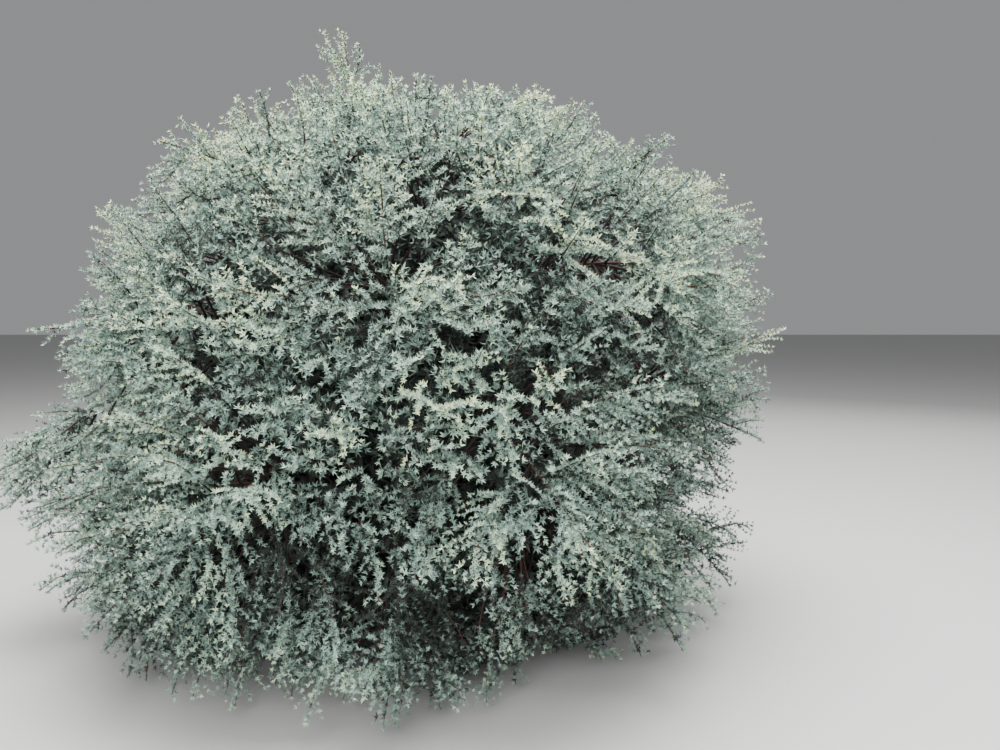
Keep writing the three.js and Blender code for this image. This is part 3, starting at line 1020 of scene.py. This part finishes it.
def makeBoughs():
    look, count = boughLook, boughLook["rings"]

    def relief(point, radius, spoke):
        flake = noise.noise(point * look["flakeScale"])
        flake += look["grainShare"] * noise.noise(point * look["grainScale"])
        return radius + flake * look["flakeDepth"]

    for plan in boughPlans:
        radii = [mix(plan["baseRadius"], plan["endRadius"], i / count) for i in range(count + 1)]
        name = "limb_" + plan["mark"]
        mesh = reliefTube(pointsAlong(plan["bough"], count), radii, look["sides"], relief, name)
        mesh.materials.append(barkMaterials["bough_bark"])
        wear(addObject(name, mesh), ["bough_" + plan["mark"]])


makeTrunk()
makeBoughs()
print("trunk and", len(boughPlans), "boughs")


def newTree(name, inputs):  # gives the tree and its inputs, as outputs to link from
    tree = bpy.data.node_groups.new(name, "GeometryNodeTree")
    for label, (kind, value) in inputs.items():
        socket = tree.interface.new_socket(label, in_out="INPUT", socket_type="NodeSocket" + kind)
        if value is not None:
            socket.default_value = value
    tree.interface.new_socket("Made", in_out="OUTPUT", socket_type="NodeSocketGeometry")
    return tree, addNode(tree, "NodeGroupInput").outputs


def attributeOf(tree, name, kind="FLOAT"):
    node = addNode(tree, "GeometryNodeInputNamedAttribute", {"Name": name}, data_type=kind)
    return node.outputs["Attribute"]


belowAllTints = -100


def paintByTint(tree, geometry, tint, materials):  # the last step: each face takes its tint's material
    for number, material in enumerate(materials):
        feeds = {0: tint, 1: number - 0.5 if number else belowAllTints}
        above = addNode(tree, "FunctionNodeCompare", feeds, data_type="FLOAT", operation="GREATER_THAN")
        feeds = {"Geometry": geometry, "Selection": above.outputs["Result"], "Material": material}
        geometry = addNode(tree, "GeometryNodeSetMaterial", feeds).outputs["Geometry"]
    addNode(tree, "NodeGroupOutput", {"Made": geometry})


def twigTree():  # tubes along the skeleton, as thick as its "thick" attribute says
    tree, given = newTree("twigTubes", {"Skeleton": ("Geometry", None), "Sides": ("Int", 3)})
    curves = addNode(tree, "GeometryNodeMeshToCurve", {"Mesh": given["Skeleton"]}).outputs["Curve"]
    ring = addNode(tree, "GeometryNodeCurvePrimitiveCircle", {"Resolution": given["Sides"], "Radius": 1})
    feeds = {
        "Curve": curves, "Profile Curve": ring.outputs["Curve"], "Scale": attributeOf(tree, "thick"),
        "Fill Caps": True,
    }
    tubes = addNode(tree, "GeometryNodeCurveToMesh", feeds).outputs["Mesh"]
    smooth = addNode(tree, "GeometryNodeSetShadeSmooth", {"Geometry": tubes}).outputs["Geometry"]
    real = addNode(tree, "GeometryNodeRealizeInstances", {"Geometry": smooth}).outputs["Geometry"]
    paintByTint(tree, real, attributeOf(tree, "tint"), twigMaterials)
    return tree


# A tuft is a short spur's whorl, palest in its middle: a whole rosette low down, where the needles are
# long, and a smaller one higher up, set closer. Each needle is one flat blade with its own point.
tuftKinds = {
    "rosette": {
        "needles": 7, "leans": (12, 80), "length": 0.0172, "width": 0.0071, "pitch": 0.0195, "seed": 77,
    },
    "brush": {
        "needles": 6, "leans": (14, 80), "length": 0.0162, "width": 0.0069, "pitch": 0.0155, "seed": 177,
    },
}

# Tufts lean forward along their shoot, most of all at its end. Those further round it, by swing, get
# painted shade in their tint, as if under the shoot.
tuft = {
    "variants": 10,
    "turnSpread": 0.45,
    "lengthSpread": 0.2,
    "twist": 0.6,
    "foot": 0.0015,
    "middle": -0.7,
    "ring": 0.5,
    "forward": 0.45,
    "endForward": 1.6,
    "endPower": 8,
    "wholeTurn": 6.2832,
    "sizes": (0.8, 1.18),
    "undersideShade": 1.5,
    "tintSpread": (-1.1, 0.3),
}


def makeTufts(kind):
    holder = bpy.data.collections.new("tufts")
    for variant in range(tuft["variants"]):
        draw = seededDraw(kind["seed"] + variant)
        corners, faces, offsets = [], [], []
        for k in range(kind["needles"]):
            turn = 2 * math.pi * (k + spread(draw, tuft["turnSpread"])) / kind["needles"]
            aside = draw()
            lean = math.radians(mix(*kind["leans"], aside))
            offsets.append(mix(tuft["middle"], tuft["ring"], aside))
            spoke = Vector((math.cos(turn), math.sin(turn), 0))
            along = spoke * math.sin(lean) + up * math.cos(lean)
            tip = along * (kind["length"] * (1 + spread(draw, tuft["lengthSpread"])))
            side = along.cross(up).normalized()
            twist = between(draw, -tuft["twist"], tuft["twist"])
            side = (side * math.cos(twist) + along.cross(side) * math.sin(twist)) * (kind["width"] / 2)
            foot = spoke * tuft["foot"]
            faces.append((len(corners), len(corners) + 1, len(corners) + 2))
            corners += [foot - side, foot + side, foot + tip]
        mesh = bpy.data.meshes.new(f"tuft{variant}")
        mesh.from_pydata(corners, [], faces)
        mesh.attributes.new("offset", "FLOAT", "FACE").data.foreach_set("value", offsets)
        holder.objects.link(bpy.data.objects.new(f"tuft{variant}", mesh))
    return holder


def needleTree():  # tufts along the skeleton, at a spacing of pitch times their size
    inputs = {
        "Skeleton": ("Geometry", None), "Tufts": ("Collection", None), "Pitch": ("Float", 0.02),
        "Swing": ("Float", 1.2), "Forward": ("Float", tuft["forward"]),
        "Underside Shade": ("Float", tuft["undersideShade"]), "Seed": ("Int", 5),
    }
    tree, given = newTree("needleTufts", inputs)

    def chance(low, high, seed=0):  # sockets 2 and 3 hold the ends of a plain number's range
        feeds = {2: low, 3: high, "Seed": seed}
        return addNode(tree, "FunctionNodeRandomValue", feeds).outputs[1]

    size = attributeOf(tree, "size")
    swing = chance(mathOf(tree, "MULTIPLY", given["Swing"], -1), given["Swing"], given["Seed"])

    # Painted shade: a tuft further round its shoot, as if under it, gets a darker tint, with a random
    # spread.
    turnedBy = mathOf(tree, "ABSOLUTE", swing)
    darker = mathOf(tree, "MULTIPLY_ADD", turnedBy, given["Underside Shade"], chance(*tuft["tintSpread"]))
    tint = mathOf(tree, "ADD", darker, attributeOf(tree, "tint"))
    curves = addNode(tree, "GeometryNodeMeshToCurve", {"Mesh": given["Skeleton"]}).outputs["Curve"]
    feeds = {"Curve": curves, "Length": mathOf(tree, "MULTIPLY", given["Pitch"], size)}
    steps = addNode(tree, "GeometryNodeResampleCurve", feeds, mode="LENGTH").outputs["Curve"]
    feeds = {"Geometry": steps, "Name": "tint", "Value": tint}
    points = addNode(tree, "GeometryNodeStoreNamedAttribute", feeds, data_type="FLOAT").outputs["Geometry"]

    tangent = addNode(tree, "GeometryNodeInputTangent").outputs["Tangent"]
    feeds = {"Vector": attributeOf(tree, "lift", "FLOAT_VECTOR"), "Axis": tangent, "Angle": swing}
    aside = addNode(tree, "ShaderNodeVectorRotate", feeds).outputs["Vector"]
    share = addNode(tree, "GeometryNodeSplineParameter").outputs["Factor"]
    endward = mathOf(tree, "POWER", share, tuft["endPower"])
    forward = mathOf(tree, "MULTIPLY_ADD", endward, tuft["endForward"], given["Forward"])
    feeds = {0: tangent, "Scale": forward}
    ahead = addNode(tree, "ShaderNodeVectorMath", feeds, operation="SCALE").outputs["Vector"]
    aim = addNode(tree, "ShaderNodeVectorMath", {0: aside, 1: ahead}, operation="ADD").outputs["Vector"]
    align = addNode(tree, "FunctionNodeAlignRotationToVector", {"Vector": aim}, axis="Z")
    feeds = {"Axis": up, "Angle": chance(0, tuft["wholeTurn"])}
    spin = addNode(tree, "FunctionNodeAxisAngleToRotation", feeds)
    feeds = {"Rotation": align.outputs["Rotation"], "Rotate By": spin.outputs["Rotation"]}
    turned = addNode(tree, "FunctionNodeRotateRotation", feeds, rotation_space="LOCAL")

    feeds = {"Collection": given["Tufts"], "Separate Children": True}
    tufts = addNode(tree, "GeometryNodeCollectionInfo", feeds).outputs["Instances"]
    last = {5: tuft["variants"] - 1}  # the end of a whole number's range, from 0
    pick = addNode(tree, "FunctionNodeRandomValue", last, data_type="INT")
    scale = mathOf(tree, "MULTIPLY", chance(*tuft["sizes"]), size)
    feeds = {
        "Points": points, "Instance": tufts, "Pick Instance": True, "Instance Index": pick.outputs[2],
        "Rotation": turned.outputs["Rotation"], "Scale": scale,
    }
    placed = addNode(tree, "GeometryNodeInstanceOnPoints", feeds).outputs["Instances"]
    real = addNode(tree, "GeometryNodeRealizeInstances", {"Geometry": placed}).outputs["Geometry"]
    shade = mathOf(tree, "ADD", attributeOf(tree, "tint"), attributeOf(tree, "offset"))
    paintByTint(tree, real, shade, needleMaterials)
    return tree


def skeleton(lines):  # a chain of edges for each line, with its values on the points
    corners, edges, lifts = [], [], []
    values = {"thick": [], "tint": [], "size": []}
    for line in lines:
        first, count = len(corners), len(line["points"])
        corners += line["points"]
        edges += [(first + i, first + i + 1) for i in range(count - 1)]
        for i in range(count):
            share = i / (count - 1)
            values["thick"].append(mix(*line.get("thick", (0, 0)), share))
            values["tint"].append(mix(*line["tint"], share))
            values["size"].append(line.get("size", 1))
            lifts.append(line.get("lift", up))
    mesh = bpy.data.meshes.new("skeleton")
    mesh.from_pydata(corners, edges, [])
    for key, numbers in values.items():
        mesh.attributes.new(key, "FLOAT", "POINT").data.foreach_set("value", numbers)
    lift = mesh.attributes.new("lift", "FLOAT_VECTOR", "POINT")
    lift.data.foreach_set("vector", np.array(lifts).ravel())
    return addObject("skeleton", mesh)


def realised(name, source, tree, settings):  # the modifier's result as a plain mesh of its own
    modifier = source.modifiers.new("grow", "NODES")
    modifier.node_group = tree
    for item in tree.interface.items_tree:
        if item.in_out == "INPUT" and item.name in settings:
            modifier[item.identifier] = settings[item.name]
    evaluated = source.evaluated_get(bpy.context.evaluated_depsgraph_get())
    mesh = bpy.data.meshes.new_from_object(evaluated)
    mesh.name = name
    while None in list(mesh.materials):
        mesh.materials.pop(index=list(mesh.materials).index(None))
    for attribute in [a for a in mesh.attributes if a.name in ("thick", "tint", "size", "lift", "offset")]:
        mesh.attributes.remove(attribute)
    bpy.data.objects.remove(source)
    return addObject(name, mesh)


# The radii and tints of wood, at its root and at its end. A stem's root is as thick as its bough's end.
# A twig shorter than fullLength is thinner at its root, down to the end's own radius.
wood = {
    "stem": {"thick": 0.0035, "tint": (2.4, 0.9)},
    "twig": {"thick": (0.0072, 0.0018), "tint": (2.6, 0.8), "fullLength": 0.6},
    "branchlet": {"thick": (0.0024, 0.001), "tint": (1, 1)},
    # The inner branchlets' dark tint is painted shade.
    "innerBranchlet": {"thick": (0.0024, 0.001), "tint": (2, 2)},
    "shoot": {"thick": (0.0014, 0.0009), "tint": (1.2, 0.4)},
}

# A branchlet that ends deeper than the first of these takes the inner ones' dark tint, as painted shade.
# An inner one that ends deeper than innerTo has no tube of its own. A side shoot has one if it ends no
# deeper than shootsTo and starts higher over the ground than shootsFrom.
shownWood = {"paintedShadeFrom": 0.15, "innerTo": 0.5, "shootsTo": 0.1, "shootsFrom": 1.5}


def twigLines(mass):
    stemThick = (mass["plan"]["endRadius"], wood["stem"]["thick"])
    lines = [{"points": mass["stem"]["points"], "thick": stemThick, "tint": wood["stem"]["tint"]}]
    thickest, thinnest = wood["twig"]["thick"]
    for one in mass["twigs"]:
        share = min(1, (lengthOf(one["points"]) / wood["twig"]["fullLength"]) ** 2)
        thick = (mix(thinnest, thickest, share), thinnest)
        lines.append({"points": one["points"], "thick": thick, "tint": wood["twig"]["tint"]})
    return lines


def shootLines(mass):
    lines = []
    inner = [one for one in mass["innerBranchlets"] if one["depth"] < shownWood["innerTo"]]
    for one in mass["branchlets"] + inner:
        kind = "branchlet" if one["depth"] < shownWood["paintedShadeFrom"] else "innerBranchlet"
        lines.append({"points": one["points"], **wood[kind]})
    for one in mass["sides"]:
        root, end = one["points"][0], one["points"][-1]
        shown = one["depth"] < shownWood["shootsTo"] and root.z > shownWood["shootsFrom"]
        if shown and len(one["points"]) > 2:
            lines.append({"points": [root, end], **wood["shoot"]})
    return lines


lifts = {"up": 0.8, "out": 0.6, "shortest": 0.05}


def liftOf(shoot):  # tufts stand on the side of a shoot that gets the light
    first, last = shoot["points"][0], shoot["points"][-1]
    tangent = (last - first).normalized()
    level = Vector((last.x, last.y, 0)).normalized()
    lift = up * lifts["up"] + level * lifts["out"]
    lift -= tangent * lift.dot(tangent)
    return lift.normalized() if lift.length > lifts["shortest"] else level


def needleTint(shoot, draw):  # its tints at its root and at its paler end, from painted light and shade
    end = shoot["points"][-1]
    # Painted light and shade: more light higher up, less deeper in the crown and in the shaded hollows.
    light = float(np.interp(end.z, tones["heights"], tones["light"]))
    light += shoot["tone"] + spread(draw, tones["ownSpread"])
    light -= tones["lossPerMetre"] * max(shoot["depth"], tones["proudest"]) + shadeAt(end)
    tint = tones["unlitTint"] - tones["unlitTint"] * light
    return tint + tones["rootDarker"], tint - tones["endPaler"]


# Wood bears needles where it is less deep than this. Tufts are larger deeper in, where fewer of them
# have to fill the crown. The inner ones' tints are painted shade: darker the deeper they are, and low
# down.
needled = {"stem": 0.36, "twig": 0.2, "branchlet": 0.36}
tuftSizes = {
    "depths": [0.02, 0.14, 0.34, 0.6, 0.9],
    "sizes": [0.94, 1.25, 1.4, 2.0, 3.2],
    "inner": 1.32,
}
innerTones = {"depths": [0.3, 0.65], "tints": [3.0, 5.0], "heights": [0.6, 1.1], "darker": [1.4, 0.0]}


def tuftLine(shoot, points, tint):
    size = float(np.interp(shoot["depth"], tuftSizes["depths"], tuftSizes["sizes"]))
    return {"points": points, "tint": tint, "size": size, "lift": liftOf(shoot)}


def needleLines(mass, draw):
    lines = []
    kinds = (("stem", [mass["stem"]]), ("twig", mass["twigs"]), ("branchlet", mass["branchlets"]))
    for kind, shoots in kinds:
        for one in shoots:
            near = np.flatnonzero(depthInMass(mass["index"], one["points"]) < needled[kind])
            if len(near) and near[0] < len(one["points"]) - 1:
                lines.append(tuftLine(one, one["points"][near[0]:], needleTint(one, draw)))
    return lines + [tuftLine(one, one["points"], needleTint(one, draw)) for one in mass["sides"]]


def innerLines(mass):
    lines = []
    for one in mass["innerBranchlets"] + mass["innerSides"]:
        # Painted shade: darker the deeper the shoot ends and the lower it is; the darkest is needle_shade.
        tint = float(np.interp(one["depth"], innerTones["depths"], innerTones["tints"]))
        tint += float(np.interp(one["points"][-1].z, innerTones["heights"], innerTones["darker"]))
        line = tuftLine(one, one["points"], (tint, tint))
        line["size"] *= tuftSizes["inner"]
        lines.append(line)
    return lines


# The masses that make each group's pieces, and how far round a shoot its tufts stand, in radians each
# way: furthest where it hangs.
pieceGroups = {
    "skirt_right": {"masses": range(0, 4), "swing": 1.8, "tufts": "rosette"},
    "skirt_left": {"masses": range(4, 7), "swing": 1.8, "tufts": "rosette"},
    "lower_right": {"masses": range(7, 11), "swing": 1.4, "tufts": "rosette"},
    "lower_left": {"masses": range(11, 14), "swing": 1.4, "tufts": "rosette"},
    "middle_right": {"masses": range(14, 18), "swing": 1.5, "tufts": "brush"},
    "middle_left": {"masses": range(18, 21), "swing": 1.5, "tufts": "brush"},
    "upper_right": {"masses": [21, 22, 25], "swing": 1.5, "tufts": "brush"},
    "upper_left": {"masses": [23, 24], "swing": 1.5, "tufts": "brush"},
    "top": {"masses": range(26, 29), "swing": 1.4, "tufts": "brush"},
}


def makeFoliage():
    tufts = {name: makeTufts(kind) for name, kind in tuftKinds.items()}
    tubes, needles = twigTree(), needleTree()
    total = 0
    for group, choice in pieceGroups.items():
        members = [masses[i] for i in choice["masses"]]
        nodes = ["foliage_" + mass["plan"]["mark"] for mass in members]
        seed, pitch = choice["masses"][0], tuftKinds[choice["tufts"]]["pitch"]
        look = {"Tufts": tufts[choice["tufts"]], "Pitch": pitch, "Seed": seed, "Swing": choice["swing"]}
        draw = seededDraw(seeds["tints"] + seed)
        made = (
            ("inner_needles", [innerLines(mass) for mass in members], needles, look, "needles"),
            ("twigs", [twigLines(mass) for mass in members], tubes, {"Sides": 4}, "bough_bark"),
            ("shoots", [shootLines(mass) for mass in members], tubes, {"Sides": 3}, "bough_bark"),
            ("needles", [needleLines(mass, draw) for mass in members], needles, look, "needles"),
        )
        for kind, lines, tree, settings, slot in made:
            piece = realised(f"{kind}_{group}", skeleton(sum(lines, [])), tree, settings)
            wear(piece, nodes)
            count = sum(len(face.vertices) - 2 for face in piece.data.polygons)
            total += count
            print("  ", piece.name, count, "triangles,", [m.name for m in piece.data.materials])
    for holder in tufts.values():
        for one in list(holder.objects):
            bpy.data.objects.remove(one)
        bpy.data.collections.remove(holder)
    print("foliage:", total, "triangles")


makeFoliage()

# The place the picture is taken in, and the photograph's own view.
floor = {"half": 40, "colour": (0.5, 0.5, 0.49)}
lights = {
    "lightAbove": {"place": (0.3, -1.2, 8), "power": 2300},
    "lightFront": {"place": (-0.8, -8.5, 5.2), "power": 1050},
    "lightBack": {"place": (5, 7, 6.5), "power": 420},
}
studio = {"lightSize": 6, "aim": (0, 0, 1.3), "sky": (0.97, 0.98, 1), "skyStrength": 0.3}
view = {"place": (0.48, -4.8, 1.6), "down": 4.4, "lens": 35.3, "sensor": 36}


def makeFloor():
    mesh = bpy.data.meshes.new("floor")
    corners = [(x * floor["half"], y * floor["half"], 0) for x, y in ((-1, -1), (1, -1), (1, 1), (-1, 1))]
    mesh.from_pydata(corners, [], [(0, 1, 2, 3)])
    mesh.materials.append(plainMaterial("floor_pale", floor["colour"], roughness=0.9, specular=0.1))
    addObject("floor", mesh)


def makeLights():
    for name, look in lights.items():
        light = bpy.data.lights.new(name, "AREA")
        light.size = studio["lightSize"]
        light.energy = look["power"]
        lamp = addObject(name, light)
        lamp.location = look["place"]
        way = Vector(studio["aim"]) - Vector(look["place"])
        lamp.rotation_euler = way.to_track_quat("-Z", "Y").to_euler()
    world = bpy.data.worlds.new("studio")
    world.use_nodes = True
    sky = world.node_tree.nodes["Background"]
    sky.inputs["Color"].default_value = (*studio["sky"], 1)
    sky.inputs["Strength"].default_value = studio["skyStrength"]
    bpy.context.scene.world = world


def makeCamera():
    lens = bpy.data.cameras.new("camera")
    lens.sensor_width = view["sensor"]
    lens.lens = view["lens"]
    camera = addObject("camera", lens)
    camera.location = view["place"]
    camera.rotation_euler = (math.radians(90 - view["down"]), 0, 0)
    bpy.context.scene.camera = camera


makeFloor()
makeLights()
makeCamera()
